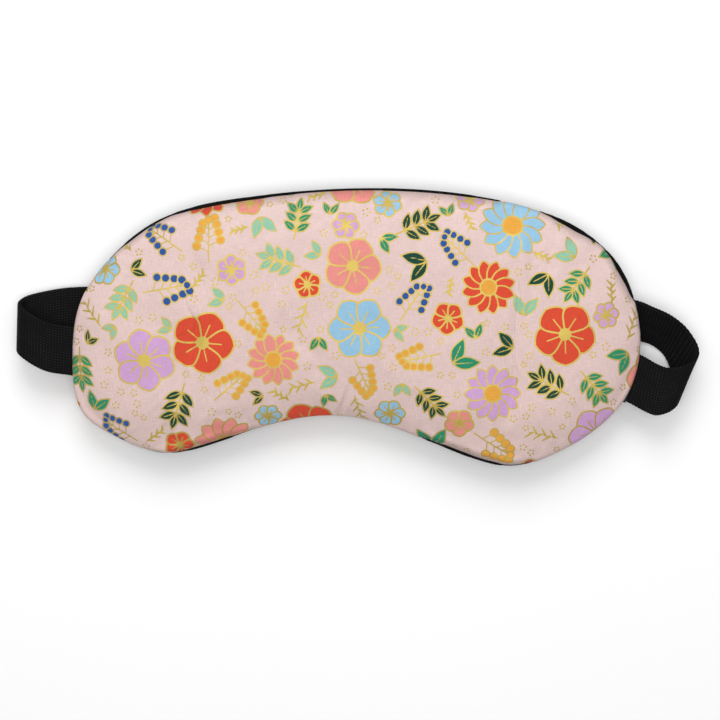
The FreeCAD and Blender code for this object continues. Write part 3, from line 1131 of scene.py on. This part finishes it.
front.data.materials.append(printed_cotton())
back.data.materials.append(black_cloth())
knit_elastic = elastic()
for things in straps.values():
    for thing in things:
        thing.data.materials.append(knit_elastic)
cad_elastic = plain_fibre("elastic_end", (0.003, 0.003, 0.003), (0.014, 0.014, 0.015), 2500, 0.7)
thread = plain_fibre("thread", (0.55, 0.42, 0.40), (0.75, 0.6, 0.57), 4000, 0.6)
black_thread = plain_fibre("black_thread", (0.004, 0.004, 0.004), (0.02, 0.02, 0.02), 4000, 0.6)
fill.data.materials.append(
    plain_fibre("wadding", (0.62, 0.61, 0.58), (0.86, 0.85, 0.82), 900, 0.95))
lining.data.materials.append(
    plain_fibre("blackout_cloth", (0.006, 0.006, 0.007), (0.02, 0.02, 0.022), 2500, 0.9))
for node, material in [("strap_end_left", cad_elastic), ("strap_end_right", cad_elastic),
                       ("strap_tack_left", black_thread), ("strap_tack_right", black_thread),
                       ("seam_thread", thread), ("closing_stitches", black_thread)]:
    materials = frame["nodes"][node].data.materials
    materials.clear()
    materials.append(material)

# ---- what moves with what -------------------------------------------------------------------
for thing, node, slot in [(front, "front_panel", "printed_cotton"),
                          (back, "back_panel", "black_cloth"), (fill, "wadding", "wadding"),
                          (lining, "blackout_lining", "blackout_cloth")]:
    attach(thing, "mask")
    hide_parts(node)
for hand, things in straps.items():
    seam_piece, loop_piece, back_piece = things
    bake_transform(seam_piece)
    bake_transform(loop_piece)
    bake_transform(back_piece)
    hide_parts("strap_front_" + hand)
    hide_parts("strap_fold_" + hand)
    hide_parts("strap_return_" + hand, "strap_back_" + hand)

# ---- stage ----------------------------------------------------------------------------------
GROUND_Y = 0.0050
GROUND_HALF = 1.6


def pale_ground():
    """Seen from the front only, and clear to light, so that side and back views stay open."""
    graph = Material("pale_ground")
    grain = graph.add("TexNoise")
    grain.inputs["Scale"].default_value = 12
    graph.finished({
        "Base Color": graph.mix(grain.outputs["Fac"], (0.905,) * 3, (0.925,) * 3),
        "Roughness": 1.0,
        "Specular IOR Level": 0.0,
    })
    light_path = graph.add("LightPath")
    facing = graph.add("LayerWeight").outputs["Facing"]
    edge_on = graph.math("MULTIPLY", light_path.outputs["Is Camera Ray"],
                         graph.ramp(facing, 0.6, 0.75))
    hidden = graph.math("MAXIMUM", graph.add("NewGeometry").outputs["Backfacing"],
                        light_path.outputs["Is Shadow Ray"])
    mixer = graph.add("MixShader")
    clear = graph.add("BsdfTransparent")
    graph.links.new(graph.math("MAXIMUM", hidden, edge_on), mixer.inputs[0])
    graph.links.new(graph.shader.outputs[0], mixer.inputs[1])
    graph.links.new(clear.outputs[0], mixer.inputs[2])
    graph.links.new(mixer.outputs[0], graph.output.inputs[0])
    return graph.made


ground_mesh = bpy.data.meshes.new("ground")
ground_mesh.from_pydata([(x * GROUND_HALF, GROUND_Y, z * GROUND_HALF)
                         for x, z in ((-1, -1), (1, -1), (1, 1), (-1, 1))], [], [(0, 1, 2, 3)])
ground = add_object("ground", ground_mesh)
ground_mesh.materials.append(pale_ground())
ground.parent = frame["bodies"]["strap_back_left"]


def area_light(name, place, size, power):
    """A round soft light that points at the mask."""
    light = bpy.data.lights.new(name, "AREA")
    light.shape = "DISK"
    light.size = size
    light.energy = power
    thing = add_object(name, light)
    thing.location = place
    thing.rotation_euler = (-Vector(place)).to_track_quat("-Z", "Y").to_euler()


area_light("key", (-0.06, -0.76, 0.89), 0.7, 6.8)
area_light("fill", (0, -1.18, -0.05), 0.8, 5.7)
area_light("left", (-0.586, -0.837, 0.59), 0.8, 1.8)
area_light("right", (0.586, -0.837, 0.59), 0.8, 1.0)
area_light("rear", (0, 0.95, -0.08), 0.35, 18.0)


def pale_world(strength, seen):
    """Even soft light, with a paler tone where the camera looks straight at it."""
    world = bpy.data.worlds.new("world")
    bpy.context.scene.world = world
    world.use_nodes = True
    graph = Graph(world.node_tree)
    background = graph.nodes["Background"]
    background.inputs[0].default_value = (1, 1, 1, 1)
    camera_ray = graph.add("LightPath").outputs["Is Camera Ray"]
    graph.links.new(graph.ramp(camera_ray, 0, 1, strength, seen), background.inputs[1])


pale_world(0.37, 0.86)
bpy.context.scene.view_settings.view_transform = "Standard"


def place_camera():
    """Looks along +Y and a little down, with the mask turned a little clockwise in the view."""
    target = Vector((0.0025, -0.006, -0.0118))
    elevation, roll, distance = math.radians(7.0), math.radians(2.6), 0.735
    back_way = Vector((0, -math.cos(elevation), math.sin(elevation)))
    right = Vector((1, 0, 0))
    up = back_way.cross(right)
    turned_right = right * math.cos(roll) + up * math.sin(roll)
    turned_up = up * math.cos(roll) - right * math.sin(roll)
    rotation = Matrix((turned_right, turned_up, back_way)).transposed()
    data = bpy.data.cameras.new("camera")
    data.lens = 100
    data.sensor_width = 36
    data.clip_start = 0.01
    thing = add_object("camera", data)
    thing.matrix_world = Matrix.Translation(target + back_way * distance) @ rotation.to_4x4()
    bpy.context.scene.camera = thing


place_camera()
